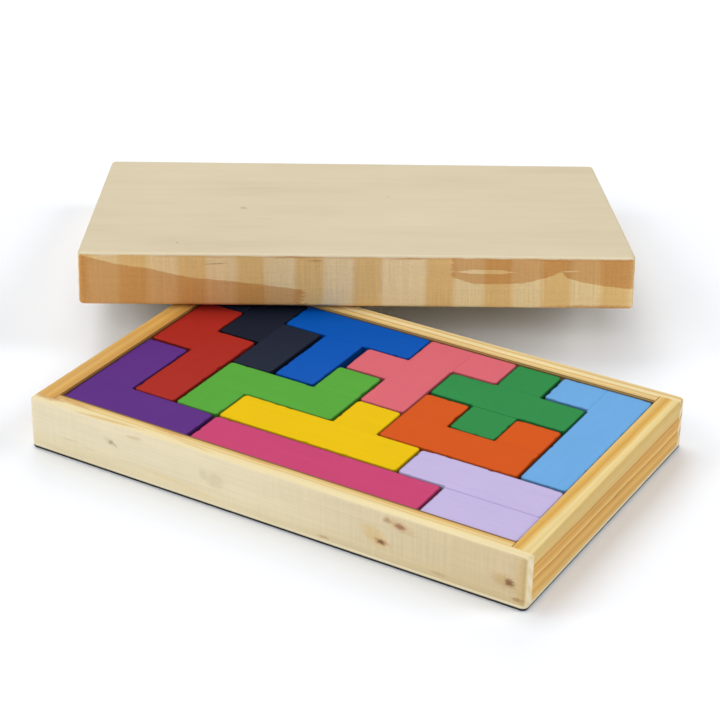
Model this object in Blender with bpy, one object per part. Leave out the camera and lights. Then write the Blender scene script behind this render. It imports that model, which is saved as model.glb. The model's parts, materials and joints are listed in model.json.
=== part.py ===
"""A boxed block puzzle: twelve painted wooden pieces in a shallow tray, and the cap lid that covers it.

Each piece fills five cells of a ten by six grid and is glued up from straight blocks, cut from one
stick. The tray stands on the floor, its base centred on the origin, with +X along its long side and
+Z up. The lid leans on the tray: its front rail rests across the rim, with the tray's back left
corner inside its hollow, and its back edge is on the floor. Everything is in metres.
"""

import math

import bmesh
import bpy
from mathutils import Euler, Vector

MM = 0.001

# The grid and the blocks.
CELL = 18 * MM
COLUMNS = 10
ROWS = 6
BLOCK_INSET = 0.2 * MM  # from a grid line to the free side of a block
GLUE_LINE = 0.3 * MM  # between two solids that are glued together or rest on each other
RECESS = 1.0 * MM  # from the rim down to the tops of the blocks
BLOCK_CORNER = 1.5 * MM  # plan radius of a piece's outward corners

# The tray.
CAVITY_SLACK = 0.5 * MM  # how much longer and wider the cavity is than the grid
TRAY_WALL = 8.0 * MM
TRAY_HEIGHT = 20.0 * MM
PLY = 2.0 * MM

# The lid.
LID_WALL = 7.0 * MM
LID_CLEARANCE_ALONG = 0.75 * MM  # at each end of the tray when the lid is on it
LID_CLEARANCE_ACROSS = 1.75 * MM  # at its front and back
LID_HEIGHT = 21.0 * MM
LID_YAW = math.radians(31.3)  # from the tray's long side to the lid's
LID_FRONT_MIDDLE = (-35.9 * MM, 59.0 * MM)  # the middle of its lower front edge, in plan

# Both boxes.
EDGE_ROUND = 1.2 * MM
ROUND_SEGMENTS = 3
LAP_SHARE = 0.5  # how much of a long rail's thickness laps the end of a side rail

# Sizes that follow.
CAVITY_LENGTH = COLUMNS * CELL + CAVITY_SLACK
CAVITY_WIDTH = ROWS * CELL + CAVITY_SLACK
TRAY_LENGTH = CAVITY_LENGTH + 2 * TRAY_WALL
TRAY_WIDTH = CAVITY_WIDTH + 2 * TRAY_WALL
LID_LENGTH = TRAY_LENGTH + 2 * (LID_CLEARANCE_ALONG + LID_WALL)
LID_WIDTH = TRAY_WIDTH + 2 * (LID_CLEARANCE_ACROSS + LID_WALL)
RAIL_FOOT = PLY + GLUE_LINE  # where the rails and the blocks stand, above the floor
BLOCK_TOP = TRAY_HEIGHT - RECESS
REST_HEIGHT = TRAY_HEIGHT + GLUE_LINE  # of the lid's inner front edge, just clear of the rim
LID_TILT = math.asin(REST_HEIGHT / (LID_WIDTH - LID_WALL - EDGE_ROUND))

PAINT_ROUGHNESS = 0.45
WOOD_ROUGHNESS = 0.6
PINE = (224, 196, 146)
PLYWOOD = (219, 205, 175)

# Each piece: its colour, and its blocks as (name, first cell, last cell, shortfalls). A cell is
# (column, row), counted from the front left. A shortfall is how many millimetres a side stops short
# of its usual place, or passes it where it is negative; "top" is how much lower the block is.
PIECES = {
    "purple_v": ((100, 60, 135), [
        ("front_block", (0, 0), (2, 0), {"right": 1.1}),
        ("side_block", (0, 1), (0, 2), {"right": 0.3, "back": 0.9}),
    ]),
    "magenta_i": ((203, 75, 120), [
        ("block", (3, 0), (7, 0), {"right": 0.5, "back": 0.3}),
    ]),
    "lavender_p": ((195, 180, 220), [
        ("front_block", (8, 0), (9, 0), {"top": 0.2}),
        ("back_block", (7, 1), (9, 1), {"back": 0.2}),
    ]),
    "yellow_y": ((238, 195, 0), [
        ("long_block", (3, 1), (6, 1), {"right": 0.5}),
        ("short_block", (5, 2), (5, 2), {"back": 0.2, "right": 0.1}),
    ]),
    "light_green_z": ((95, 170, 70), [
        ("front_block", (2, 1), (2, 1), {"right": 0.1}),
        ("middle_block", (2, 2), (4, 2), {"right": 0.7}),
        ("back_block", (4, 3), (4, 3), {"left": -0.8, "right": 0.7}),
    ]),
    "red_n": ((172, 44, 36), [
        ("front_block", (1, 1), (1, 3), {"right": 0.7, "back": 0.4}),
        ("back_block", (0, 3), (0, 4), {"top": 0.15}),
    ]),
    "navy_w": ((40, 46, 62), [
        ("front_block", (2, 3), (2, 4), {"right": 1.2, "front": -0.1}),
        ("middle_block", (1, 4), (1, 5), {"front": 0.3, "top": 0.3}),
        ("back_block", (0, 5), (0, 5), {}),
    ]),
    "blue_t": ((20, 90, 185), [
        ("stem_block", (3, 3), (3, 4), {"right": 1.2, "front": 0.5}),
        ("bar_block", (2, 5), (4, 5), {"right": 0.1}),
    ]),
    "salmon_f": ((220, 105, 115), [
        ("left_block", (4, 4), (4, 4), {"left": 1.0, "front": 0.5, "top": 0.1}),
        ("middle_block", (5, 3), (5, 5), {}),
        ("right_block", (6, 5), (6, 5), {"front": 0.3, "right": 0.1}),
    ]),
    "dark_green_x": ((55, 145, 75), [
        ("middle_block", (6, 4), (8, 4), {"left": 0.5, "back": 0.2}),
        ("front_block", (7, 3), (7, 3), {"top": 0.15}),
        ("back_block", (7, 5), (7, 5), {"left": 0.1, "back": 0.2}),
    ]),
    "orange_u": ((217, 93, 40), [
        ("front_block", (6, 2), (8, 2), {"right": 0.3}),
        ("left_block", (6, 3), (6, 3), {"right": 0.3, "back": 0.7, "top": 0.15}),
        ("right_block", (8, 3), (8, 3), {"right": 0.3, "back": 0.7}),
    ]),
    "light_blue_l": ((115, 170, 225), [
        ("long_block", (9, 2), (9, 5), {"left": 0.4, "front": 0.4}),
        ("short_block", (8, 5), (8, 5), {"left": 0.7, "front": 0.6}),
    ]),
}

# The cells across each side of a block, as a step in (column, row).
SIDES = {"left": (-1, 0), "right": (1, 0), "front": (0, -1), "back": (0, 1)}


def clear_scene():
    for old in list(bpy.data.objects):
        bpy.data.objects.remove(old, do_unlink=True)


def linear(colour):
    """An 8-bit sRGB colour as the linear RGBA that a shader takes."""
    shares = [value / 255 for value in colour]
    return [s / 12.92 if s <= 0.04045 else ((s + 0.055) / 1.055) ** 2.4 for s in shares] + [1.0]


def material(name, colour, roughness):
    made = bpy.data.materials.new(name)
    made.use_nodes = True
    made.diffuse_color = linear(colour)
    shader = made.node_tree.nodes["Principled BSDF"]
    shader.inputs["Base Color"].default_value = linear(colour)
    shader.inputs["Roughness"].default_value = roughness
    shader.inputs["Metallic"].default_value = 0.0
    return made


def empty(name, location, rotation=(0, 0, 0)):
    made = bpy.data.objects.new(name, None)
    made.location = location
    made.rotation_euler = rotation
    bpy.context.collection.objects.link(made)
    return made


def prism(outline, bottom, top):
    """A mesh in work: the plan outline, anticlockwise, drawn up from bottom to top."""
    work = bmesh.new()
    floor = work.faces.new([work.verts.new((x, y, bottom)) for x, y in outline])
    drawn = bmesh.ops.extrude_face_region(work, geom=[floor])
    moved = [item for item in drawn["geom"] if isinstance(item, bmesh.types.BMVert)]
    bmesh.ops.translate(work, verts=moved, vec=(0, 0, top - bottom))
    bmesh.ops.recalc_face_normals(work, faces=work.faces)
    return work


def rectangle(left, right, front, back):
    return [(left, front), (right, front), (right, back), (left, back)]


def round_edges(work, edges, radius):
    bmesh.ops.bevel(
        work,
        geom=edges,
        offset=radius,
        offset_type="OFFSET",
        segments=ROUND_SEGMENTS,
        profile=0.5,
        affect="EDGES",
        clamp_overlap=True,
    )


def finish(work, name, paint, parent, offset=(0, 0, 0)):
    """Turns the mesh in work into a named object under its parent."""
    mesh = bpy.data.meshes.new(name)
    work.to_mesh(mesh)
    work.free()
    mesh.materials.append(paint)
    mesh.shade_smooth()
    mesh.set_sharp_from_angle(angle=math.radians(35))
    made = bpy.data.objects.new(name, mesh)
    made.parent = parent
    made.location = offset
    bpy.context.collection.objects.link(made)
    return made


def outer_edges(work, length, width, heights):
    """The edges where two of a box's outer faces meet; heights are those of its free flat faces."""

    def faces_at(point):
        found = set()
        if abs(abs(point.x) - length / 2) < GLUE_LINE / 3:
            found.add(("x", point.x > 0))
        if abs(abs(point.y) - width / 2) < GLUE_LINE / 3:
            found.add(("y", point.y > 0))
        found |= {("z", height) for height in heights if abs(point.z - height) < GLUE_LINE / 3}
        return found

    return [
        edge
        for edge in work.edges
        if len(faces_at(edge.verts[0].co) & faces_at(edge.verts[1].co)) == 2
    ]


def long_rail_outline(length, width, wall, side):
    """A front (side -1) or back (side +1) rail: its ends are rebated to take the side rails."""
    outer = width / 2
    lap = outer - LAP_SHARE * wall
    inner = outer - wall
    cheek = length / 2 - wall - GLUE_LINE
    end = length / 2
    outline = [
        (-end, -outer), (end, -outer), (end, -lap), (cheek, -lap),
        (cheek, -inner), (-cheek, -inner), (-cheek, -lap), (-end, -lap),
    ]
    return outline if side < 0 else [(-x, -y) for x, y in outline]


def side_rail_outline(length, width, wall, side):
    """A left (side -1) or right (side +1) rail, between the laps of the long rails."""
    half = width / 2 - LAP_SHARE * wall - GLUE_LINE
    near, far = sorted((side * length / 2, side * (length / 2 - wall)))
    return rectangle(near, far, -half, half)


def box_rails(name, length, width, wall, foot, top, free_heights, paint, parent):
    """The four rails of a tray or a lid."""
    outlines = {
        "front_rail": long_rail_outline(length, width, wall, -1),
        "back_rail": long_rail_outline(length, width, wall, 1),
        "left_rail": side_rail_outline(length, width, wall, -1),
        "right_rail": side_rail_outline(length, width, wall, 1),
    }
    for rail, outline in outlines.items():
        work = prism(outline, foot, top)
        round_edges(work, outer_edges(work, length, width, free_heights), EDGE_ROUND)
        finish(work, f"{name}_{rail}", paint, parent)


def panel(name, length, width, bottom, top, free_height, paint, parent):
    """A thin sheet over the whole plan of a box, its outer edges rounded."""
    half_length = length / 2
    half_width = width / 2
    work = prism(rectangle(-half_length, half_length, -half_width, half_width), bottom, top)
    round_edges(work, outer_edges(work, length, width, [free_height]), EDGE_ROUND)
    finish(work, name, paint, parent)


def build_tray():
    frame = empty("tray_frame", (0, 0, 0))
    pine = material("tray_pine", PINE, WOOD_ROUGHNESS)
    ply = material("tray_plywood", PLYWOOD, WOOD_ROUGHNESS)
    panel("tray_base_panel", TRAY_LENGTH, TRAY_WIDTH, 0, PLY, 0, ply, frame)
    box_rails(
        "tray", TRAY_LENGTH, TRAY_WIDTH, TRAY_WALL, RAIL_FOOT, TRAY_HEIGHT, [TRAY_HEIGHT], pine, frame
    )


def lid_frame():
    """An empty at the middle of the lid's open underside, turned and tilted as the lid leans."""
    turn = Euler((-LID_TILT, 0, LID_YAW), "XYZ")
    backward = Vector((0, LID_WIDTH / 2, 0))
    backward.rotate(turn)
    front_height = REST_HEIGHT + LID_WALL * math.sin(LID_TILT)
    return empty("lid_frame", Vector((*LID_FRONT_MIDDLE, front_height)) + backward, turn)


def build_lid():
    frame = lid_frame()
    pine = material("lid_pine", PINE, WOOD_ROUGHNESS)
    ply = material("lid_plywood", PLYWOOD, WOOD_ROUGHNESS)
    under_panel = LID_HEIGHT - PLY
    panel("lid_top_panel", LID_LENGTH, LID_WIDTH, under_panel, LID_HEIGHT, LID_HEIGHT, ply, frame)
    box_rails(
        "lid", LID_LENGTH, LID_WIDTH, LID_WALL, 0, under_panel - GLUE_LINE, [0], pine, frame
    )


def block_cells(first, last):
    return {
        (column, row)
        for column in range(first[0], last[0] + 1)
        for row in range(first[1], last[1] + 1)
    }


def is_glued(side, first, last, cells):
    """Whether another block of the same piece lies anywhere across this side."""
    step = SIDES[side]
    own = block_cells(first, last)
    across = {(column + step[0], row + step[1]) for column, row in own} - own
    return bool(across & cells)


def block_extent(first, last, cells, shortfalls):
    """The block's left, right, front and back faces, measured from the grid's front left corner."""
    inset = {}
    for side in SIDES:
        usual = GLUE_LINE / 2 if is_glued(side, first, last, cells) else BLOCK_INSET
        inset[side] = usual + shortfalls.get(side, 0) * MM
    return (
        first[0] * CELL + inset["left"],
        (last[0] + 1) * CELL - inset["right"],
        first[1] * CELL + inset["front"],
        (last[1] + 1) * CELL - inset["back"],
    )


def outward_corners(work, first, last, cells):
    """The upright edges of a block that stand at an outward corner of its piece."""
    middle_x = sum(vert.co.x for vert in work.verts) / len(work.verts)
    middle_y = sum(vert.co.y for vert in work.verts) / len(work.verts)
    found = []
    for edge in work.edges:
        one, other = (vert.co for vert in edge.verts)
        if abs(one.z - other.z) < BLOCK_INSET:
            continue
        column = last[0] if one.x > middle_x else first[0]
        row = last[1] if one.y > middle_y else first[1]
        beside = (column + (1 if one.x > middle_x else -1), row)
        beyond = (column, row + (1 if one.y > middle_y else -1))
        if beside not in cells and beyond not in cells:
            found.append(edge)
    return found


def build_piece(name, colour, blocks):
    cells = set()
    for _, first, last, _ in blocks:
        cells |= block_cells(first, last)
    middle_column = (min(c for c, _ in cells) + max(c for c, _ in cells) + 1) / 2
    middle_row = (min(r for _, r in cells) + max(r for _, r in cells) + 1) / 2
    centre_x = (middle_column - COLUMNS / 2) * CELL
    centre_y = (middle_row - ROWS / 2) * CELL
    frame = empty(f"{name}_frame", (centre_x, centre_y, RAIL_FOOT))
    paint = material(f"{name}_paint", colour, PAINT_ROUGHNESS)
    for block, first, last, shortfalls in blocks:
        extent = block_extent(first, last, cells, shortfalls)
        left, right = (x - middle_column * CELL for x in extent[:2])
        front, back = (y - middle_row * CELL for y in extent[2:])
        height = BLOCK_TOP - RAIL_FOOT - shortfalls.get("top", 0) * MM
        work = prism(rectangle(left, right, front, back), 0, height)
        round_edges(work, outward_corners(work, first, last, cells), BLOCK_CORNER)
        finish(work, f"{name}_{block}", paint, frame)


def main():
    clear_scene()
    build_tray()
    build_lid()
    for name, (colour, blocks) in PIECES.items():
        build_piece(name, colour, blocks)


main()
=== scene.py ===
"""The looks of a boxed block puzzle: twelve painted pieces in a pine tray, and the cap lid leaning on it.

Each solid of the frame gets a milled mesh of its own in its place, with rounded and slightly chipped
edges, and a procedural wood or paint material. Places are in metres, in the frame's axes. Inside the
materials they are in millimetres, in the axes of the tray, the lid or the block.
"""

import json
import math
from collections import namedtuple

import bmesh
import bpy
from mathutils import Matrix, Vector, noise


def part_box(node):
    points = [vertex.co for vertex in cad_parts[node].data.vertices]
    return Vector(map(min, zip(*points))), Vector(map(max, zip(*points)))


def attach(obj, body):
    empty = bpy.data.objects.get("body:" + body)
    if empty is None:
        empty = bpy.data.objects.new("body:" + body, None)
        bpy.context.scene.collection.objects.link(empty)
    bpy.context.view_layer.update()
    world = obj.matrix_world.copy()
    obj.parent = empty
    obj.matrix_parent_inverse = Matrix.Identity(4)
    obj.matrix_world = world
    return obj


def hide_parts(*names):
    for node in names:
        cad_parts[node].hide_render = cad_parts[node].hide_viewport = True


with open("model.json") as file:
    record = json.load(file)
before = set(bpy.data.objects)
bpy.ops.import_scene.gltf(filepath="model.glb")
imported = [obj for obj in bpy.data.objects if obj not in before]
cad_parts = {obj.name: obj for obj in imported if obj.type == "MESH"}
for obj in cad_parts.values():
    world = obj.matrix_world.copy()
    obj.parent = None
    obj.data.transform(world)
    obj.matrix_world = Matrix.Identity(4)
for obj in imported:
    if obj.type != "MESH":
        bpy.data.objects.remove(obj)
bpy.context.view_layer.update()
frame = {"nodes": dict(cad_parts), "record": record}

MM = 0.001
TRAY = "tray"
LID = "lid"

# The grid of cells that the blocks fill, centred on the tray.
CELL = 18 * MM
COLUMNS = 10
ROWS = 6

# Glued sides reach out until the frame's glue line is a hairline.
GLUE_LINE = 0.3 * MM
HAIRLINE = 0.002 * MM
GLUE_REACH = GLUE_LINE / 2 - HAIRLINE

# Milling: the radii of edges and corners, how far a block's free sides reach out to narrow the gaps between
# pieces, the depth of chips and how far down they go, and how finely outlines, corners and caps are drawn.
JOINT_EDGE = 0.04 * MM
INNER_EDGE = 0.35 * MM
OUTER_EDGE = {TRAY: 1.0 * MM, LID: 1.4 * MM}
SHEET_EDGE = {TRAY: 0.9 * MM, LID: 1.3 * MM}
CORNER_RADIUS = {TRAY: 2.0 * MM, LID: 2.2 * MM}
BLOCK_EDGE = 0.2 * MM
BLOCK_REACH = 0.08 * MM
BLOCK_CORNER = 1.5 * MM
BLOCK_CHIPS = 0.42 * MM
BOARD_CHIPS = 0.12 * MM
CHIP_DEPTH = 1.4 * MM
OUTLINE_STEP = 0.8 * MM
ARC_POINTS = 8
ARC_TURNS = [math.radians(turn) for turn in (20, 40, 65, 90)]
CHIP_RINGS = (0.3, 0.6, 1.0)
RING_GAP = 0.02 * MM
CAP_INSET = 0.4 * MM
SHARP_ANGLE = math.radians(50)

# What keeps the chips of boards, pieces, blocks and sheets from being alike.
BOARD_SEED = 2.3
PIECE_SEED = 3.7
BLOCK_SEED = 11.3
SHEET_SEED = 7.7

# How each piece is painted, as 8-bit sRGB, and how open its glue joints are.
Paint = namedtuple("Paint", "colour seam")
PAINTS = {
    "purple_v": Paint((91, 45, 126), 0.02 * MM),
    "magenta_i": Paint((196, 67, 111), 0.02 * MM),
    "lavender_p": Paint((192, 178, 217), 0.28 * MM),
    "yellow_y": Paint((230, 188, 0), 0.02 * MM),
    "light_green_z": Paint((85, 162, 57), 0.02 * MM),
    "red_n": Paint((167, 42, 32), 0.05 * MM),
    "navy_w": Paint((33, 39, 55), 0.05 * MM),
    "blue_t": Paint((4, 83, 175), 0.02 * MM),
    "salmon_f": Paint((213, 101, 111), 0.05 * MM),
    "dark_green_x": Paint((46, 136, 70), 0.06 * MM),
    "orange_u": Paint((208, 84, 22), 0.06 * MM),
    "light_blue_l": Paint((107, 166, 218), 0.04 * MM),
}


# ---------------------------------------------------------------- meshes

# How a side is milled at a point: the radii of its upper and lower edge, how far it is moved out, and how
# deep its chips are.
Milling = namedtuple("Milling", "upper lower reach chips")

# A point of a plan. It has, for each side that it lies on, the side's normal, its share and its milling,
# and where it isn't at a corner, the numbers of the points that its side runs between and how far it is.
PlanPoint = namedtuple("PlanPoint", "place pulls between")


def plan_of(corners, radii, milling):
    """The points of a plan whose corners run anticlockwise and are right angles.

    A radius of 0 leaves a corner sharp. milling(side, place) says how a side is milled there.
    """
    count = len(corners)
    corners = [Vector(corner) for corner in corners]
    normals = []
    for index in range(count):
        run = corners[(index + 1) % count] - corners[index]
        normals.append(Vector((run.y, -run.x)).normalized())
    points = []
    for index in range(count):
        before = normals[index - 1]
        after = normals[index]
        centre = corners[index] - radii[index] * (before + after)
        turns = ARC_POINTS if radii[index] else 1
        for step in range(turns):
            angle = math.pi / 2 * step / max(1, turns - 1)
            shares = (math.cos(angle), math.sin(angle)) if radii[index] else (1, 1)
            place = centre + radii[index] * (shares[0] * before + shares[1] * after)
            sides = ((index - 1) % count, index)
            pulls = [(normals[side], share, milling(side, place)) for side, share in zip(sides, shares)]
            points.append(PlanPoint(place, pulls, None))
        following = (index + 1) % count
        start = corners[index] - radii[index] * before
        end = corners[following] - radii[following] * normals[following]
        parts = max(1, round((end - start).length / OUTLINE_STEP))
        first = len(points) - 1
        last = len(points) + parts - 1 if following else 0
        for step in range(1, parts):
            place = start.lerp(end, step / parts)
            points.append(PlanPoint(place, [(after, 1, milling(index, place))], (first, last, step / parts)))
    return points


def draw_in(radius, depth):
    """How far a rounded edge of this radius has drawn in at a depth below its face."""
    if depth >= radius:
        return 0.0
    return radius - math.sqrt(radius**2 - (radius - depth) ** 2)


def ring_heights(low, high, plan):
    """The heights at which a milled solid has rings of points, close together where its edges round."""
    heights = {low, high, (low + high) / 2}
    radii = {radius for point in plan for _, _, side in point.pulls for radius in (side.upper, side.lower)}
    depths = {radius * (1 - math.cos(turn)) for radius in radii for turn in ARC_TURNS}
    depths |= {CHIP_DEPTH * share for share in CHIP_RINGS}
    for depth in depths:
        if depth < (high - low) * 0.48:
            heights |= {low + depth, high - depth}
    middles = sorted(heights - {low, high})
    above = middles[1:] + [high]
    kept = [z for z, following in zip(middles, above) if following - z > RING_GAP and z - low > RING_GAP]
    return [low, *kept, high]


def chipped(place, seed):
    """How deep the chips of an edge are here, from 0 to about 1."""
    coarse = noise.noise(Vector((place.x / MM * 0.35, place.y / MM * 0.35, seed)))
    fine = noise.noise(Vector((place.x / MM * 1.1, place.y / MM * 1.1, seed + 50)))
    return max(0.0, coarse - 0.2) * 2.0 + max(0.0, fine) * 0.3


def milled(name, plan, low, high, seed=0.0):
    """A closed mesh: the plan drawn up from low to high, with its edges rounded and chipped.

    Its "edge" attribute is 1 where an edge rounds, 0 on the flats and in between on the way.
    """
    work = bmesh.new()
    edge = work.verts.layers.float.new("edge")

    def ring(z, inset):
        moved = []
        worn_and_shaded = []
        for place, pulls, _ in plan:
            shift = Vector((0, 0))
            rounded = False
            for normal, share, side in pulls:
                pull = max(draw_in(side.upper, high - z), draw_in(side.lower, z - low)) - side.reach
                near = max(0.0, 1 - min(high - z, z - low) / CHIP_DEPTH)
                pull += side.chips * chipped(place, seed) * near**2
                pull += inset
                shift -= normal * (share * pull)
                in_edge = high - z < side.upper or z - low < side.lower
                rounded = rounded or (in_edge and side.chips > 0 and not inset)
            moved.append(place + shift)
            worn_and_shaded.append(1.0 if rounded else 0.0)
        for number, point in enumerate(plan):
            if point.between:
                first, last, share = point.between
                along = (plan[last].place - plan[first].place).normalized()
                even = moved[first].lerp(moved[last], share)
                moved[number] += along * (even - moved[number]).dot(along)
        made = [work.verts.new((place.x, place.y, z)) for place in moved]
        for vert, amount in zip(made, worn_and_shaded):
            vert[edge] = amount
        return made

    rings = [ring(low, CAP_INSET)]
    rings += [ring(z, 0.0) for z in ring_heights(low, high, plan)]
    rings.append(ring(high, CAP_INSET))
    for lower, upper in zip(rings, rings[1:]):
        for index in range(len(lower)):
            after = (index + 1) % len(lower)
            work.faces.new((lower[index], lower[after], upper[after], upper[index]))
    work.faces.new(rings[-1])
    work.faces.new(list(reversed(rings[0])))
    mesh = bpy.data.meshes.new(name)
    work.to_mesh(mesh)
    work.free()
    mesh.shade_smooth()
    mesh.set_sharp_from_angle(angle=SHARP_ANGLE)
    return mesh


def put(name, mesh, matrix, material, body, node):
    """The mesh as a piece of a body, in the place of a CAD node."""
    made = bpy.data.objects.new(name, mesh)
    mesh.materials.append(material)
    bpy.context.scene.collection.objects.link(made)
    made.matrix_world = matrix
    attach(made, body)
    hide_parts(node)
    return made


# ---------------------------------------------------------------- shader wiring


def linear(colour):
    """An 8-bit sRGB colour as linear RGBA."""
    shares = [value / 255 for value in colour]
    return [s / 12.92 if s <= 0.04045 else ((s + 0.055) / 1.055) ** 2.4 for s in shares] + [1.0]


class Wiring:
    """A material, with short ways to add nodes to it and join them."""

    def __init__(self, name):
        self.material = bpy.data.materials.new(name)
        self.material.use_nodes = True
        self.tree = self.material.node_tree
        self.shader = self.tree.nodes["Principled BSDF"]

    def put(self, socket, value):
        if isinstance(value, bpy.types.NodeSocket):
            self.tree.links.new(value, socket)
        else:
            socket.default_value = value

    def node(self, kind, inputs, **settings):
        """A node of a kind, its inputs given by name or number."""
        made = self.tree.nodes.new("ShaderNode" + kind)
        for key, value in settings.items():
            setattr(made, key, value)
        for key, value in inputs.items():
            self.put(made.inputs[key], value)
        return made

    def math(self, operation, *values):
        return self.node("Math", dict(enumerate(values)), operation=operation).outputs[0]

    def add(self, *values):
        total = values[0]
        for value in values[1:]:
            total = self.math("ADD", total, value)
        return total

    def times(self, *values):
        product = values[0]
        for value in values[1:]:
            product = self.math("MULTIPLY", product, value)
        return product

    def millimetres(self):
        """The point in the piece's own axes."""
        place = self.node("TexCoord", {}).outputs["Object"]
        return self.node("VectorMath", {0: place, 1: (1 / MM,) * 3}, operation="MULTIPLY").outputs[0]

    def split(self, vector):
        return self.node("SeparateXYZ", {0: vector}).outputs[:]

    def joined(self, x, y, z):
        return self.node("CombineXYZ", {0: x, 1: y, 2: z}).outputs[0]

    def noise(self, point, frequency, detail=2.0, roughness=0.5):
        """Noise about 0, with a number of cycles a millimetre for each axis."""
        stretched = self.node("VectorMath", {0: point, 1: frequency}, operation="MULTIPLY").outputs[0]
        settings = {"Vector": stretched, "Scale": 1.0, "Detail": detail, "Roughness": roughness}
        return self.math("SUBTRACT", self.node("TexNoise", settings).outputs["Fac"], 0.5)

    def smooth(self, value, low, high):
        """0 up to low and 1 from high on; the other way round where low is above high."""
        inputs = {"Value": value, "From Min": low, "From Max": high}
        if low > high:
            inputs.update({"From Min": high, "From Max": low, "To Min": 1.0, "To Max": 0.0})
        return self.node("MapRange", inputs, interpolation_type="SMOOTHSTEP").outputs[0]

    def ramp(self, value, stops):
        """The colour or level that the stops give; each is (position, 8-bit sRGB colour or level)."""
        made = self.node("ValToRGB", {"Fac": value})
        elements = made.color_ramp.elements
        elements.remove(elements[1])
        elements[0].position = stops[0][0]
        for position, level in stops:
            element = elements[0] if position == stops[0][0] else elements.new(position)
            element.color = linear(level) if isinstance(level, tuple) else (level, level, level, 1)
        return made.outputs["Color"]

    def mix(self, share, first, second, blend="MIX"):
        inputs = {0: share, 6: first, 7: second}
        return self.node("Mix", inputs, data_type="RGBA", blend_type=blend).outputs[2]

    def tint(self, colour, amount):
        """The colour made lighter by a share, or darker by a negative one."""
        factor = self.math("ADD", amount, 1.0)
        return self.node("VectorMath", {0: colour, "Scale": factor}, operation="SCALE").outputs[0]

    def shade(self, colour, roughness, height, distance, **constants):
        """Joins colour, roughness and a bump height in millimetres to the shader."""
        self.put(self.shader.inputs["Base Color"], colour)
        self.put(self.shader.inputs["Roughness"], roughness)
        bump = self.node("Bump", {"Height": height, "Distance": distance * MM, "Strength": 1.0})
        self.put(self.shader.inputs["Normal"], bump.outputs[0])
        for name, value in constants.items():
            self.shader.inputs[name.replace("_", " ")].default_value = value
        return self.material


# ---------------------------------------------------------------- paint


# How rough and glossy the paint is, and how far its worn and shaded edges, specks and sides are darkened.
# The edges carry wear and painted shade; the sides carry painted shade of the gaps just below the top.
PAINT_ROUGHNESS = 0.55
PAINT_SPECULAR = 0.025
WORN_AND_SHADED_EDGE = -0.45
PAINT_SPECK = -0.12
PAINTED_GAP_SHADE = -0.5


def paint(name, colour, top):
    """Satin paint on a sawn stick: the grain and the brush show faintly along the block.

    Its sides are darkened just below the top with painted shade, as in the narrow gaps between the pieces.
    """
    w = Wiring(name)
    point = w.millimetres()
    random = w.node("ObjectInfo", {}).outputs["Random"]
    x, y, z = w.split(point)
    point = w.joined(w.add(x, w.times(random, 400)), w.add(y, w.times(random, 90)), z)
    fibre = w.noise(point, (0.06, 2.2, 2.2), 3, 0.6)
    brush = w.noise(point, (0.02, 0.5, 0.5), 2)
    cloud = w.noise(point, (0.05, 0.08, 0.08), 2)
    worn_and_shaded = w.node("Attribute", {}, attribute_name="edge").outputs["Fac"]
    speck = w.smooth(w.noise(point, (0.8, 0.9, 0.9), 1), 0.27, 0.36)
    amount = w.add(w.times(fibre, 0.11), w.times(brush, 0.07), w.times(cloud, 0.08))
    # The rounded, chipped edges are darkened for wear and as painted shade of the gaps between the pieces.
    amount = w.add(amount, w.times(worn_and_shaded, WORN_AND_SHADED_EDGE), w.times(speck, PAINT_SPECK))
    # Painted shade on the sides, in a band just below the top where the gaps between the pieces lie.
    gap_shade = w.times(w.smooth(z, top - 0.15, top - 0.45), w.smooth(z, top - 4.5, top - 1.2))
    tinted = w.tint(linear(colour)[:3], w.add(amount, w.times(gap_shade, PAINTED_GAP_SHADE)))
    rough = w.add(PAINT_ROUGHNESS, w.times(fibre, 0.25), w.times(worn_and_shaded, 0.08))
    height = w.add(w.times(fibre, 0.7), w.times(brush, 0.6), w.times(speck, -0.5))
    return w.shade(tinted, rough, height, 0.1, Specular_IOR_Level=PAINT_SPECULAR)


# ---------------------------------------------------------------- wood

# A rail's looks. face: colours up its outer face, as (share of its height, colour). top: colours from its
# outer face inwards, as (millimetres, colour). stray and tilt: how far these bands wander, in
# millimetres, and how fast they climb along the rail. saw: how strong the saw lines on its face are at its
# low and high end. fade: what its colour is multiplied by at its high end. rings: how strong the growth
# rings on its cut ends are. line: how wide the painted gap shadow along its inner top edge is, in
# millimetres.
# marks and top_marks: its knots and stains. seed: sets its grain apart.
Rail = namedtuple("Rail", "face top stray tilt saw fade rings line marks top_marks seed")

# A knot or stain: its middle and its half lengths along the rail and across that, in millimetres, its turn
# in degrees, its strength and its colour.
Mark = namedtuple("Mark", "along across length height turn strength colour")

# What the boards have in common. The bands on a rail's top wander less than those on its face, by TOP_STRAY.
WOOD_ROUGHNESS = 0.6
WOOD_SPECULAR = 0.2
TOP_STRAY = 0.8
# A painted shadow of the gap between a rail and the pieces: its dark brown colour and how strongly it is laid
# on.
PAINTED_GAP_SHADOW = (92, 58, 32)
GAP_SHADOW_STRENGTH = 0.85
# The near-black painted contact shadow along the foot of the tray's sheet.
PAINTED_CONTACT_SHADOW = (22, 19, 17)
END_GRAIN = [(0.0, (196, 150, 92)), (0.35, (228, 204, 156)), (0.6, (238, 224, 192)), (1.0, (232, 212, 168))]


def board_point(w, node, span):
    """The point as (along the rail, in from its outer face, up), in millimetres."""
    x, y, z = w.split(w.millimetres())
    low, high = span
    if "front" in node:
        return w.joined(x, w.add(y, -low.y / MM), z)
    if "back" in node:
        return w.joined(x, w.math("SUBTRACT", high.y / MM, y), z)
    if "left" in node:
        return w.joined(y, w.add(x, -low.x / MM), z)
    return w.joined(y, w.math("SUBTRACT", high.x / MM, x), z)


def moved(w, point, seed):
    """The point, moved along the grain so that each board has a grain of its own."""
    return w.node("VectorMath", {0: point, 1: (seed * 97.0, 0, 0)}, operation="ADD").outputs[0]


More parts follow.
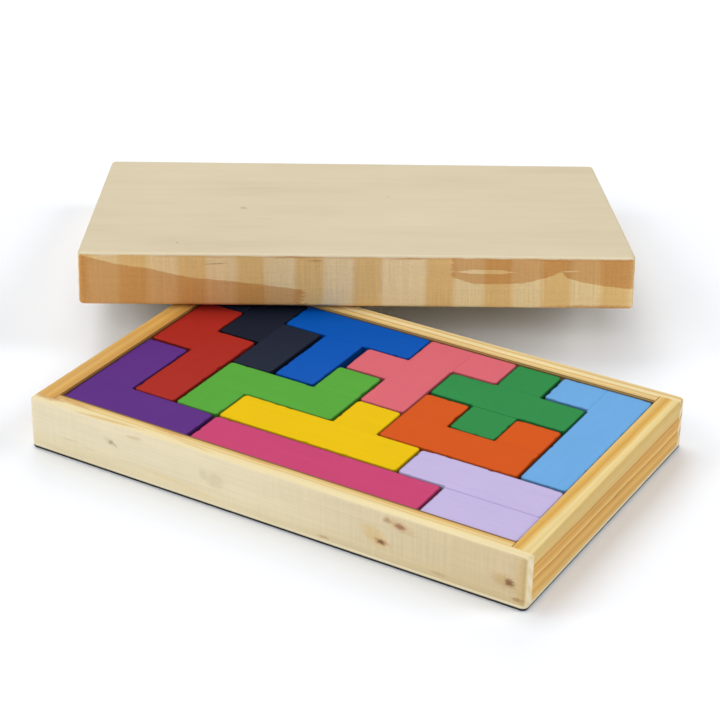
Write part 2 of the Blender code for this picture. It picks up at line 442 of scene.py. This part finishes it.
def marked(w, colour, along, across, marks):
    """The colour with ragged knots and stains on it."""
    flat = w.joined(along, across, 0.0)
    ragged = w.times(w.noise(flat, (0.6, 1.1, 1.0), 3, 0.65), 1.3)
    for mark in marks:
        inputs = {
            "Vector": flat,
            "Location": (mark.along, mark.across, 0),
            "Rotation": (0, 0, math.radians(mark.turn)),
            "Scale": (mark.length, mark.height, 1),
        }
        away = w.node("Mapping", inputs, vector_type="TEXTURE").outputs[0]
        reach = w.add(w.node("VectorMath", {0: away}, operation="LENGTH").outputs["Value"], ragged)
        share = w.times(w.smooth(reach, 1.25, 0.3), mark.strength)
        colour = w.mix(share, colour, linear(mark.colour))
    return colour


def fibres(w, point):
    """Fine grain along a board, about 0."""
    fine = w.noise(point, (0.05, 1.9, 1.9), 3, 0.6)
    streak = w.noise(point, (0.006, 1.1, 1.1), 3, 0.6)
    broad = w.noise(point, (0.012, 0.5, 0.5), 2)
    return w.add(w.times(fine, 0.6), w.times(streak, 0.7), w.times(broad, 0.5))


def saw_lines(w, point):
    """Fine lines that a saw leaves across a board, about 0."""
    along, _, up = w.split(point)
    slanted = w.joined(w.add(along, w.times(up, 0.03)), 0.0, up)
    return w.noise(slanted, (1.1, 1.0, 0.03), 2, 0.75)


def end_grain(w, colour, point, half_length, rings):
    """The colour, with the cut ends of a board paler and crossed by growth rings, as strong as rings says."""
    along, across, up = w.split(point)
    wave = w.times(w.noise(point, (1, 0.2, 0.2)), 2)
    ring = w.math("SINE", w.add(w.times(across, 1.5), w.times(up, 1.0), wave))
    cut = w.ramp(w.add(w.times(ring, 0.5 * rings), 0.5), END_GRAIN)
    return w.mix(w.smooth(w.math("ABSOLUTE", along), half_length - 0.45, half_length - 0.1), colour, cut)


def band_stray(w, own, along, looks):
    """How far a rail's bands of colour are moved here, in millimetres."""
    slow = w.noise(own, (0.012, 0.06, 0.06), 2)
    quick = w.times(w.noise(own, (0.06, 0.25, 0.25), 3), 0.4)
    return w.add(w.times(w.add(slow, quick), looks.stray), w.times(along, looks.tilt))


def gap_shadow_edge(w, across, up, width, high, line):
    """1 where the painted gap shadow lies along the inner top edge of a rail: on its top, as wide as line
    says, and on the face below.
    """
    inside = w.times(
        w.smooth(across, width - 0.2, width - 0.05),
        w.smooth(up, high - 3.0, high - 1.6),
        w.smooth(up, high - 0.75, high - 1.0),
    )
    on_top = w.smooth(across, width - line, width - 0.5 * line)
    return w.math("MAXIMUM", inside, w.times(on_top, w.smooth(up, high - 1.0, high)))


def rail(looks):
    """A maker of the material of a rail."""

    def make(node, span):
        w = Wiring(f"{node}_pine")
        point = board_point(w, node, span)
        along, across, up = w.split(point)
        own = moved(w, point, looks.seed)
        long_axis = 0 if ("front" in node or "back" in node) else 1
        half = span[1][long_axis] / MM
        low, high = span[0].z / MM, span[1].z / MM
        width = max(place for place, _ in looks.top)

        stray = band_stray(w, own, along, looks)
        height = w.times(w.add(up, stray, -low), 1 / (high - low))
        inward = w.times(w.add(across, w.times(stray, TOP_STRAY)), 1 / width)
        face = marked(w, w.ramp(height, looks.face), along, up, looks.marks)
        top = w.ramp(inward, [(place / width, colour) for place, colour in looks.top])
        top = marked(w, top, along, across, looks.top_marks)
        outer = w.smooth(across, 0.95, 0.2)
        far = w.smooth(along, -0.3 * half, half)
        faded = w.mix(w.times(far, outer), (1, 1, 1, 1), (*looks.fade, 1))
        colour = w.mix(1.0, w.mix(outer, top, face), faded, "MULTIPLY")
        # Painted shadow of the gap between the rail and the pieces, along the inner top edge.
        gap_shade = w.times(gap_shadow_edge(w, across, up, width, high, looks.line), GAP_SHADOW_STRENGTH)
        colour = w.mix(gap_shade, colour, linear(PAINTED_GAP_SHADOW))

        grain = fibres(w, own)
        cloud = w.noise(own, (0.02, 0.09, 0.09), 2)
        saw = saw_lines(w, own)
        sawn = w.add(looks.saw[0], w.times(far, looks.saw[1] - looks.saw[0]))
        sawn = w.times(sawn, outer, w.smooth(w.noise(own, (0.03, 0.1, 0.12), 2), -0.25, 0.15))
        grain_share = w.math("SUBTRACT", 0.26, w.times(sawn, 0.4))
        amount = w.add(w.times(grain, grain_share), w.times(cloud, 0.12), w.times(saw, sawn))
        colour = w.tint(colour, amount)
        if long_axis == 0:
            colour = end_grain(w, colour, point, half, looks.rings)
        rough = w.add(WOOD_ROUGHNESS, w.times(grain, 0.3))
        relief = w.add(grain, w.times(saw, sawn, 2.0))
        return w.shade(colour, rough, relief, 0.12, Specular_IOR_Level=WOOD_SPECULAR)

    return make


# The lid's front, with places as shares of its length from the left and of its height from the top. Its
# planed patches follow each other at an even pitch, and from its middle on they sit a little further right.
# The left stain lies below its line, and the right one above. The marks are in millimetres.
LID_LENGTH = 212.0
LID_HEIGHT = 21.0
LID_RAIL_WIDTH = 7.0
LID_FRONT_INSIDE = [(0.0, (214, 180, 124)), (0.5, (206, 162, 98)), (1.0, (222, 192, 138))]
FIRST_PATCH = 0.099
PATCH_PITCH = 0.105
PATCH_SHIFT = 0.025
AMBER_PATCH = (228, 187, 118)
LIGHT_PATCHES = [
    (0.0, (233, 201, 144)), (0.45, (238, 211, 162)), (0.6, (241, 217, 168)), (1.0, (234, 204, 148)),
]
STAIN = (0.80, 0.61, 0.46)
LEFT_STAIN = [
    (0.0, 0.05), (0.075, 0.24), (0.125, 0.30), (0.196, 0.46), (0.269, 0.52), (0.312, 0.57), (0.364, 0.63),
    (0.385, 0.66), (0.40, 0.67), (0.425, 0.74),
]
RIGHT_STAIN = [
    (0.67, 0.42), (0.71, 0.55), (0.758, 0.55), (0.80, 0.53), (0.838, 0.43), (0.862, 0.33), (0.869, 0.31),
    (0.876, 0.42), (0.909, 0.51), (0.945, 0.57), (1.0, 0.63),
]
LEFT_STAIN_END = 0.405
RIGHT_STAIN_START = 0.67
RAW_EDGE = (233, 219, 186)
EDGE_LINE = (196, 134, 70)
LID_MARKS = [
    Mark(-106.5, 10, 3.2, 14, 0, 0.65, (190, 124, 58)),
    Mark(92, 0.2, 22, 1.5, 0, 0.7, (188, 122, 60)),
    Mark(-54, 16.6, 4.6, 0.22, 3, 0.6, (120, 84, 50)),
    Mark(-16, 18.2, 3.2, 0.5, 0, 0.5, (176, 112, 60)),
    Mark(81, 14.9, 3.6, 0.3, 2, 0.9, (232, 202, 148)),
]


def lid_patches(w, share, flat):
    """The colour of the lid's front before it was stained: planed patches, in turn light and amber."""
    jitter = w.noise(flat, (0.35, 1.0, 0.12), 2, 0.6)
    later = w.times(w.smooth(share, 0.56, 0.61), PATCH_SHIFT)
    turn = w.times(w.add(share, w.times(later, -1.0), -FIRST_PATCH), 1 / PATCH_PITCH)
    sway = w.times(w.math("PINGPONG", turn, 0.5), 2.0)
    amber = w.times(w.smooth(w.add(sway, w.times(jitter, 0.2)), 0.62, 0.34), 0.85)
    return w.mix(amber, w.ramp(share, LIGHT_PATCHES), linear(AMBER_PATCH))


def lid_stains(w, share, depth, flat):
    """1 where the lid's front is stained, below the left line and above the right one."""
    ragged = w.noise(flat, (0.25, 1.0, 0.8), 3, 0.6)
    left = w.math("SUBTRACT", depth, w.add(w.ramp(share, LEFT_STAIN), w.times(ragged, 0.05)))
    left_end = w.add(share, w.times(ragged, 0.045), -LEFT_STAIN_END)
    left = w.times(w.smooth(left, -0.005, 0.02), w.smooth(left_end, 0.003, -0.003))
    right = w.math("SUBTRACT", w.add(w.ramp(share, RIGHT_STAIN), w.times(ragged, 0.05)), depth)
    right_start = w.add(share, w.times(ragged, 0.03), -RIGHT_STAIN_START)
    right = w.times(w.smooth(right, -0.005, 0.02), w.smooth(right_start, -0.004, 0.004))
    sliver = w.add(w.math("ABSOLUTE", w.add(depth, -0.30, w.times(share, -0.02))), w.times(ragged, 0.03))
    spread = w.smooth(w.math("ABSOLUTE", w.add(share, -0.732)), 0.062, 0.02)
    clean = w.smooth(w.add(sliver, w.times(spread, -0.045)), 0.0, -0.012)
    return w.math("MAXIMUM", left, w.times(right, w.math("SUBTRACT", 1.0, clean)))


def lid_face_colour(w, point):
    """The colour of the lid's front: patches under two brown stains, with a torn pale edge at the top."""
    along, _, up = w.split(point)
    share = w.add(w.times(along, 1 / LID_LENGTH), 0.5)
    depth = w.math("SUBTRACT", 1.0, w.times(up, 1 / LID_HEIGHT))
    flat = w.joined(along, 0.0, up)
    colour = lid_patches(w, share, flat)
    stained = w.mix(1.0, colour, (*STAIN, 1), "MULTIPLY")
    colour = w.mix(lid_stains(w, share, depth, flat), colour, stained)
    colour = marked(w, colour, along, up, LID_MARKS)
    torn = w.noise(flat, (0.10, 1.0, 0.3), 4, 0.75)
    edge = w.add(up, w.times(torn, 1.6))
    broken = w.smooth(w.noise(flat, (0.03, 1.0, 0.1), 2), -0.08, 0.12)
    colour = w.mix(w.times(w.smooth(edge, 18.6, 19.5), broken, 0.75), colour, linear(EDGE_LINE))
    return w.mix(w.smooth(edge, 19.4, 20.0), colour, linear(RAW_EDGE))


def lid_face_lines(w, point):
    """The saw lines and the short dashes of grain on the lid's front, about 0."""
    dashes = w.noise(point, (0.3, 1.0, 2.2), 3, 0.7)
    fuzz = w.noise(point, (1.5, 1.0, 1.1), 3, 0.7)
    clear = w.smooth(w.noise(point, (0.05, 1.0, 0.12), 2), -0.3, 0.25)
    return w.add(w.times(saw_lines(w, point), clear, 0.95), w.times(dashes, 0.42), w.times(fuzz, 0.5))


def lid_front(node, span):
    """The material of the lid's front rail."""
    w = Wiring(f"{node}_pine")
    point = board_point(w, node, span)
    _, across, _ = w.split(point)
    grain = fibres(w, point)
    outer = w.smooth(across, 1.1, 0.3)
    inside = w.ramp(w.times(across, 1 / LID_RAIL_WIDTH), LID_FRONT_INSIDE)
    lines = w.times(lid_face_lines(w, point), outer)
    colour = w.mix(outer, inside, lid_face_colour(w, point))
    colour = w.tint(colour, w.add(w.times(grain, 0.16), w.times(lines, 0.5)))
    colour = end_grain(w, colour, point, span[1].x / MM, 0.6)
    rough = w.add(WOOD_ROUGHNESS, w.times(grain, 0.3))
    return w.shade(colour, rough, w.add(grain, lines), 0.12, Specular_IOR_Level=WOOD_SPECULAR)


def sheet(colours, marks, seed, wrapped=False):
    """A maker of the material of a thin sheet, its face veneer running along its length.

    Where it is wrapped, its front edge carries on the lid's front. If not, a painted contact shadow darkens
    its foot.
    """

    def make(node, span):
        w = Wiring(f"{node}_veneer")
        point = w.millimetres()
        x, y, z = w.split(point)
        own = moved(w, point, seed)
        streak = w.noise(own, (0.01, 0.22, 0.5), 3)
        fine = w.noise(own, (0.05, 1.6, 2.0), 3, 0.6)
        blotch = w.noise(own, (0.012, 0.03, 0.1), 3, 0.6)
        dark = w.add(0.4, w.times(streak, 0.35), w.times(fine, 0.22), w.times(blotch, 1.0))
        colour = marked(w, w.ramp(dark, colours), x, y, marks)
        if wrapped:
            front = w.add(y, -span[0].y / MM)
            colour = w.mix(w.smooth(front, 0.75, 0.3), colour, lid_face_colour(w, w.joined(x, front, z)))
        else:
            # Painted contact shadow: the lowest millimetre of the sheet's edge is darkened nearly to black.
            colour = w.mix(w.smooth(z, 0.95, 1.45), linear(PAINTED_CONTACT_SHADOW), colour)
        rough = w.add(0.62, w.times(fine, 0.3))
        return w.shade(colour, rough, w.add(streak, fine), 0.05, Specular_IOR_Level=WOOD_SPECULAR)

    return make


# ---------------------------------------------------------------- stage

FLOOR_SIZE = 8.0
FLOOR_COLOUR = (0.95, 0.97, 1.0, 1)
FLOOR_ROUGHNESS = 0.7

# The lights: how far each is turned round the object from the camera, how high it stands and how strong
# it is.
LIGHT_SPREAD = math.radians(34)
WORLD_COLOUR = (0.8, 0.92, 1.1, 1)
WORLD_STRENGTH = 0.1
LIGHTS = {
    "front": (0, 36, 0.84),
    "right": (90, 32, 1.30),
    "back": (180, 32, 0.68),
    "left_back": (225, 60, 0.90),
    "left": (270, 32, 0.82),
    "left_front": (315, 32, 0.68),
}

# The camera: what it looks at, how far off and from where, how it is rolled, and its lens.
CAMERA_AIM = Vector((-15.9, 27.8, 18.0)) * MM
CAMERA_DISTANCE = 790.3 * MM
CAMERA_AZIMUTH = math.radians(30.05)
CAMERA_ELEVATION = math.radians(27.86)
CAMERA_ROLL = math.radians(1.11)
CAMERA_LENS = 107.5
SENSOR_WIDTH = 36


def build_floor():
    work = bmesh.new()
    bmesh.ops.create_grid(work, x_segments=1, y_segments=1, size=FLOOR_SIZE / 2)
    mesh = bpy.data.meshes.new("floor")
    work.to_mesh(mesh)
    work.free()
    floor = bpy.data.objects.new("floor", mesh)
    bpy.context.scene.collection.objects.link(floor)
    w = Wiring("white_floor")
    w.shader.inputs["Base Color"].default_value = FLOOR_COLOUR
    w.shader.inputs["Roughness"].default_value = FLOOR_ROUGHNESS
    mesh.materials.append(w.material)


def soft_light(name, turn, elevation, strength):
    """A broad, far light. turn is its angle round the object from the camera's own, to the right."""
    data = bpy.data.lights.new(name, "SUN")
    data.angle = LIGHT_SPREAD
    data.energy = strength
    around = CAMERA_AZIMUTH + math.radians(turn)
    up = math.radians(elevation)
    towards = Vector((math.sin(around) * math.cos(up), -math.cos(around) * math.cos(up), math.sin(up)))
    light = bpy.data.objects.new(name, data)
    light.location = towards
    light.rotation_euler = towards.to_track_quat("Z", "Y").to_euler()
    bpy.context.scene.collection.objects.link(light)


def build_lights():
    world = bpy.data.worlds.new("studio")
    world.use_nodes = True
    background = world.node_tree.nodes["Background"]
    background.inputs["Color"].default_value = WORLD_COLOUR
    background.inputs["Strength"].default_value = WORLD_STRENGTH
    bpy.context.scene.world = world
    for name, (turn, elevation, strength) in LIGHTS.items():
        soft_light(name, turn, elevation, strength)
    bpy.context.scene.view_settings.view_transform = "Standard"


def build_camera():
    data = bpy.data.cameras.new("view")
    data.lens = CAMERA_LENS
    data.sensor_width = SENSOR_WIDTH
    camera = bpy.data.objects.new("view", data)
    forward = Vector((
        -math.sin(CAMERA_AZIMUTH) * math.cos(CAMERA_ELEVATION),
        math.cos(CAMERA_AZIMUTH) * math.cos(CAMERA_ELEVATION),
        -math.sin(CAMERA_ELEVATION),
    ))
    turn = forward.to_track_quat("-Z", "Y").to_matrix() @ Matrix.Rotation(CAMERA_ROLL, 3, "Z")
    camera.matrix_world = Matrix.Translation(CAMERA_AIM - CAMERA_DISTANCE * forward) @ turn.to_4x4()
    bpy.context.scene.collection.objects.link(camera)
    bpy.context.scene.camera = camera


# ---------------------------------------------------------------- boxes


def in_axes(node, into):
    """A node's lowest and highest corner in the axes that the matrix leads to."""
    points = [into @ vert.co for vert in frame["nodes"][node].data.vertices]
    return [Vector([pick(point[axis] for point in points) for axis in range(3)]) for pick in (min, max)]


def lid_axes():
    """Where the lid's own axes are: the middle of its open underside, its length, width and height."""
    facing = {}
    for face in frame["nodes"]["lid_front_rail"].data.polygons:
        key = tuple(round(value, 2) for value in face.normal)
        facing[key] = facing.get(key, Vector()) + face.normal * face.area
    largest = sorted(facing.values(), key=lambda total: -total.length)
    back = next(total for total in largest if total.y > 0).normalized()
    up = next(total for total in largest if total.z > 0 and abs(total.normalized().dot(back)) < 0.1)
    up = up.normalized()
    turn = Matrix((back.cross(up), back, up)).transposed().to_4x4()
    low, high = in_axes("lid_top_panel", turn.inverted())
    foot = in_axes("lid_front_rail", turn.inverted())[0].z
    return turn @ Matrix.Translation(((low.x + high.x) / 2, (low.y + high.y) / 2, foot))


def rail_plan(box, side, spans):
    """A rail's corners, their radii, and what each side is: outer, inner or a joint."""
    low, high = spans[f"{box}_{side}_rail"]
    if side in ("left", "right"):
        corners = [(low.x, low.y), (high.x, low.y), (high.x, high.y), (low.x, high.y)]
        kinds = ["joint", "inner", "joint", "outer"]
        return corners, [0] * 4, kinds if side == "left" else kinds[2:] + kinds[:2]
    inner, outer = sorted((abs(low.y), abs(high.y)))
    end = high.x
    lap = spans[f"{box}_right_rail"][1].y + GLUE_LINE
    cheek = spans[f"{box}_right_rail"][0].x - GLUE_LINE
    corners = [
        (-end, -outer), (end, -outer), (end, -lap), (cheek, -lap),
        (cheek, -inner), (-cheek, -inner), (-cheek, -lap), (-end, -lap),
    ]
    if side == "back":
        corners = [(-x, -y) for x, y in corners]
    kinds = ["outer", "outer", "joint", "joint", "inner", "joint", "joint", "outer"]
    return corners, [CORNER_RADIUS[box]] * 2 + [0] * 6, kinds


def build_box(box, axes, free_edge, panel, materials):
    """The four rails and the sheet of a tray or a lid. free_edge says which way its open side looks."""
    into = axes.inverted()
    nodes = frame["record"]["behaviour"]["bodies"][box]
    spans = {node: in_axes(node, into) for node in nodes}
    for side in ("front", "back", "left", "right"):
        node = f"{box}_{side}_rail"
        corners, radii, kinds = rail_plan(box, side, spans)
        free_radii = {"outer": OUTER_EDGE[box], "inner": INNER_EDGE, "joint": JOINT_EDGE}

        def milling(index, _):
            kind = kinds[index]
            edges = (free_radii[kind], JOINT_EDGE) if free_edge == "up" else (JOINT_EDGE, free_radii[kind])
            reach = GLUE_REACH if kind == "joint" else 0
            return Milling(*edges, reach, BOARD_CHIPS if kind == "outer" else 0)

        low, high = spans[node][0].z, spans[node][1].z
        low -= GLUE_REACH if free_edge == "up" else 0
        high += GLUE_REACH if free_edge == "down" else 0
        mesh = milled(f"{node}_wood", plan_of(corners, radii, milling), low, high, len(node) * BOARD_SEED)
        put(f"{node}_pine", mesh, axes, materials[side](node, spans[node]), box, node)
    build_sheet(box, axes, free_edge, panel, spans[panel], materials["sheet"])


def build_sheet(box, axes, free_edge, node, span, material):
    """The thin sheet that closes a tray or a lid."""
    low, high = span
    corners = [(low.x, low.y), (high.x, low.y), (high.x, high.y), (low.x, high.y)]

    def milling(*_):
        edges = (JOINT_EDGE, SHEET_EDGE[box]) if free_edge == "up" else (SHEET_EDGE[box], JOINT_EDGE)
        return Milling(*edges, 0, BOARD_CHIPS)

    top = high.z + (GLUE_REACH if free_edge == "up" else 0)
    bottom = low.z - (GLUE_REACH if free_edge == "down" else 0)
    plan = plan_of(corners, [CORNER_RADIUS[box]] * 4, milling)
    mesh = milled(f"{node}_wood", plan, bottom, top, SHEET_SEED)
    put(f"{node}_sheet", mesh, axes, material(node, span), box, node)


# ---------------------------------------------------------------- blocks


def cell_at(x, y):
    return math.floor(x / CELL + COLUMNS / 2), math.floor(y / CELL + ROWS / 2)


def cells_of(low, high):
    """The cells that a block between two corners fills."""
    first = cell_at(low.x + CELL / 2, low.y + CELL / 2)
    last = cell_at(high.x - CELL / 2, high.y - CELL / 2)
    return {(c, r) for c in range(first[0], last[0] + 1) for r in range(first[1], last[1] + 1)}


def build_block(body, node, cells, material, seed):
    """One block of a piece. Glued sides reach the grid line, and free ones are rounded and chipped."""
    low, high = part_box(node)
    own = cells_of(low, high)
    corners = [(low.x, low.y), (high.x, low.y), (high.x, high.y), (low.x, high.y)]
    normals = [Vector((0, -1)), Vector((1, 0)), Vector((0, 1)), Vector((-1, 0))]

    def is_glued(side, place):
        inside = place - normals[side] * (CELL / 3)
        inside.x = min(max(inside.x, low.x + CELL / 3), high.x - CELL / 3)
        inside.y = min(max(inside.y, low.y + CELL / 3), high.y - CELL / 3)
        across = inside + normals[side] * CELL
        return cell_at(*across) in cells - own

    def milling(side, place):
        if is_glued(side, place):
            edge = Vector(corners[side]).dot(normals[side])
            to_next = round(edge / CELL) * CELL - edge
            return Milling(PAINTS[body].seam, JOINT_EDGE, to_next - HAIRLINE, 0)
        return Milling(BLOCK_EDGE, BLOCK_EDGE, BLOCK_REACH, BLOCK_CHIPS)

    radii = []
    for index, corner in enumerate(corners):
        free = not is_glued(index - 1, Vector(corner)) and not is_glued(index, Vector(corner))
        radii.append(BLOCK_CORNER if free else 0)
    plan = plan_of(corners, radii, milling)
    mesh = milled(f"{node}_wood", plan, low.z, high.z, seed)
    centre = Vector(((low.x + high.x) / 2, (low.y + high.y) / 2, 0))
    turn = Matrix.Rotation(math.pi / 2 if high.y - low.y > high.x - low.x else 0, 4, "Z")
    matrix = Matrix.Translation(centre) @ turn
    mesh.transform(matrix.inverted())
    put(f"{node}_painted", mesh, matrix, material, body, node)


def build_pieces():
    for body, nodes in frame["record"]["behaviour"]["bodies"].items():
        if body in PAINTS:
            cells = set().union(*(cells_of(*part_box(node)) for node in nodes))
            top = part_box(nodes[0])[1].z / MM
            material = paint(f"{body}_satin_paint", PAINTS[body].colour, top)
            for number, node in enumerate(nodes):
                seed = len(body) * PIECE_SEED + number * BLOCK_SEED
                build_block(body, node, cells, material, seed)


# ---------------------------------------------------------------- how the boxes look

EVEN = (1, 1, 1)
TRAY_RAILS = {
    "front": Rail(
        face=[(0.0, (226, 211, 172)), (0.4, (228, 215, 182)), (1.0, (230, 216, 182))],
        top=[
            (0, (234, 217, 172)), (3.6, (232, 212, 160)), (4.4, (222, 188, 120)),
            (5.2, (230, 204, 144)), (6.0, (219, 180, 106)), (8, (208, 158, 82)),
        ],
        stray=2.2, tilt=0.0, saw=(0.12, 0.42), fade=(0.82, 0.75, 0.65), rings=0.2, line=1.3, seed=1,
        marks=[
            Mark(98.6, 11, 5.0, 15, 0, 0.55, (221, 186, 116)),
            Mark(-62.9, 12.6, 3.4, 1.3, -20, 0.30, (186, 166, 132)),
            Mark(-62.9, 12.6, 1.2, 0.9, 30, 0.60, (146, 124, 96)),
            Mark(-61.2, 11.9, 1.4, 0.4, -50, 0.40, (164, 142, 110)),
            Mark(-53.0, 17.4, 4.0, 0.8, 4, 0.45, (196, 164, 118)),
            Mark(-80.6, 8.0, 4.5, 0.5, 0, 0.3, (186, 172, 146)),
            Mark(-72.0, 7.0, 3.0, 0.4, 0, 0.25, (186, 172, 146)),
            Mark(-19.7, 11.0, 4.2, 3.4, 0, 0.28, (184, 164, 128)),
            Mark(-24.5, 12.0, 1.8, 2.6, 0, 0.25, (184, 164, 128)),
            Mark(-40.0, 5.6, 12.0, 0.6, -3, 0.4, (226, 196, 124)),
            Mark(-26.0, 4.2, 7.0, 0.5, -3, 0.35, (226, 196, 124)),
            Mark(23.6, 3.2, 2.4, 0.7, 0, 0.5, (180, 140, 92)),
            Mark(52.0, 16.9, 7.0, 2.2, -12, 0.4, (206, 168, 110)),
            Mark(52.2, 16.7, 2.3, 1.3, -10, 0.8, (158, 100, 74)),
            Mark(47.4, 17.6, 1.7, 1.1, 0, 0.55, (150, 118, 84)),
            Mark(43.0, 10.2, 6.5, 3.4, -25, 0.5, (222, 186, 116)),
            Mark(45.4, 8.7, 3.0, 1.3, -8, 0.65, (176, 128, 82)),
            Mark(45.4, 8.7, 1.5, 0.8, -8, 0.8, (112, 74, 48)),
            Mark(66.8, 3.8, 3.2, 0.9, 0, 0.35, (196, 160, 112)),
            Mark(90.0, 9.4, 5.0, 2.8, -10, 0.5, (206, 166, 108)),
            Mark(92.2, 9.3, 1.9, 1.6, 0, 0.85, (132, 82, 54)),
            Mark(95.2, 4.0, 2.2, 0.9, 0, 0.6, (170, 122, 76)),
        ],
        top_marks=[
            Mark(-93.0, 4.6, 7.5, 2.6, 0, 0.75, (194, 138, 70)),
            Mark(-82.0, 5.4, 9.0, 1.2, -6, 0.6, (196, 142, 74)),
            Mark(-66.0, 1.6, 15.0, 1.1, 5, 0.65, (214, 172, 98)),
            Mark(-30.0, 3.0, 10.0, 0.8, -4, 0.5, (216, 176, 104)),
            Mark(-42.0, 6.2, 9.0, 1.1, 0, 0.6, (202, 148, 76)),
            Mark(-5.0, 6.4, 9.0, 1.0, 0, 0.6, (202, 148, 76)),
        ],
    ),
    "back": Rail(
        face=[
            (0.0, (222, 196, 142)), (0.35, (214, 180, 118)), (0.6, (228, 206, 158)),
            (1.0, (226, 200, 146)),
        ],
        top=[
            (0, (224, 196, 134)), (1.4, (230, 208, 152)), (2.2, (208, 164, 92)), (3.0, (231, 209, 154)),
            (4.6, (233, 213, 160)), (5.4, (208, 162, 88)), (6.2, (228, 200, 140)), (8, (214, 176, 106)),
        ],
        stray=1.6, tilt=0.0, saw=(0.1, 0.1), fade=EVEN, rings=1.0, line=0.1, seed=2, marks=[], top_marks=[],
    ),
    "left": Rail(
        face=[
            (0.0, (214, 178, 112)), (0.4, (222, 190, 128)), (0.6, (206, 162, 92)),
            (1.0, (216, 176, 106)),
        ],
        top=[
            (0, (226, 190, 122)), (0.9, (214, 168, 92)), (3.2, (206, 156, 76)), (4.4, (216, 170, 92)),
            (6, (204, 152, 72)), (8, (200, 146, 68)),
        ],
        stray=1.8, tilt=0.0, saw=(0.1, 0.1), fade=EVEN, rings=0.0, line=0.1, seed=3, marks=[], top_marks=[],
    ),
    "right": Rail(
        face=[
            (0.0, (232, 190, 114)), (0.10, (214, 164, 84)), (0.2, (229, 184, 104)),
            (0.3, (217, 165, 83)), (0.36, (199, 143, 63)), (0.40, (234, 196, 123)),
            (0.45, (222, 173, 93)), (0.55, (210, 158, 75)), (0.62, (219, 168, 88)),
            (0.67, (196, 141, 62)), (0.71, (220, 184, 110)), (0.85, (216, 186, 118)),
            (1.0, (213, 179, 107)),
        ],
        top=[
            (0, (232, 210, 150)), (1.2, (227, 199, 131)), (3.0, (230, 206, 144)), (4.2, (221, 181, 98)),
            (5.4, (207, 156, 64)), (6.4, (214, 166, 78)), (8, (222, 184, 108)),
        ],
        stray=3.2, tilt=0.02, saw=(0.12, 0.12), fade=EVEN, rings=0.0, line=0.1, seed=4,
        marks=[Mark(6.0, 8.6, 3.0, 0.8, 10, 0.5, (190, 130, 74))], top_marks=[],
    ),
}
LID_RAIL = Rail(
    face=[
        (0.0, (222, 190, 132)), (0.3, (212, 172, 108)), (0.55, (228, 202, 150)),
        (0.75, (210, 168, 104)), (1.0, (224, 196, 142)),
    ],
    top=[
        (0, (226, 200, 146)), (2, (214, 174, 108)), (4, (228, 204, 152)), (6, (208, 162, 92)),
        (7, (222, 190, 130)),
    ],
    stray=3.0, tilt=0.0, saw=(0.15, 0.15), fade=EVEN, rings=0.8, line=0.1, marks=[], top_marks=[], seed=5,
)
TRAY_SHEET = [(0.0, (236, 226, 196)), (1.0, (222, 206, 166))]
LID_SHEET = [(0.0, (221, 206, 173)), (0.45, (213, 197, 164)), (1.0, (199, 181, 148))]
LID_SHEET_MARKS = [
    Mark(-45.5, -6, 1.6, 2.0, 20, 0.45, (150, 132, 108)),
    Mark(-69, -58, 0.7, 0.7, 0, 0.6, (120, 100, 78)),
    Mark(-36, -22, 5.0, 1.2, 0, 0.25, (180, 164, 136)),
    Mark(14, 14, 0.9, 0.8, 0, 0.35, (150, 132, 108)),
    Mark(-41, 26, 14.0, 1.6, 0, 0.2, (186, 170, 142)),
]


def build_boxes():
    tray = {side: rail(looks) for side, looks in TRAY_RAILS.items()}
    lid = {"front": lid_front}
    for number, side in enumerate(("back", "left", "right")):
        lid[side] = rail(LID_RAIL._replace(seed=LID_RAIL.seed + number))
    tray["sheet"] = sheet(TRAY_SHEET, [], 1)
    lid["sheet"] = sheet(LID_SHEET, LID_SHEET_MARKS, 2, wrapped=True)
    build_box(TRAY, Matrix.Identity(4), "up", "tray_base_panel", tray)
    build_box(LID, lid_axes(), "down", "lid_top_panel", lid)


build_camera()
build_lights()
build_floor()
build_pieces()
build_boxes()
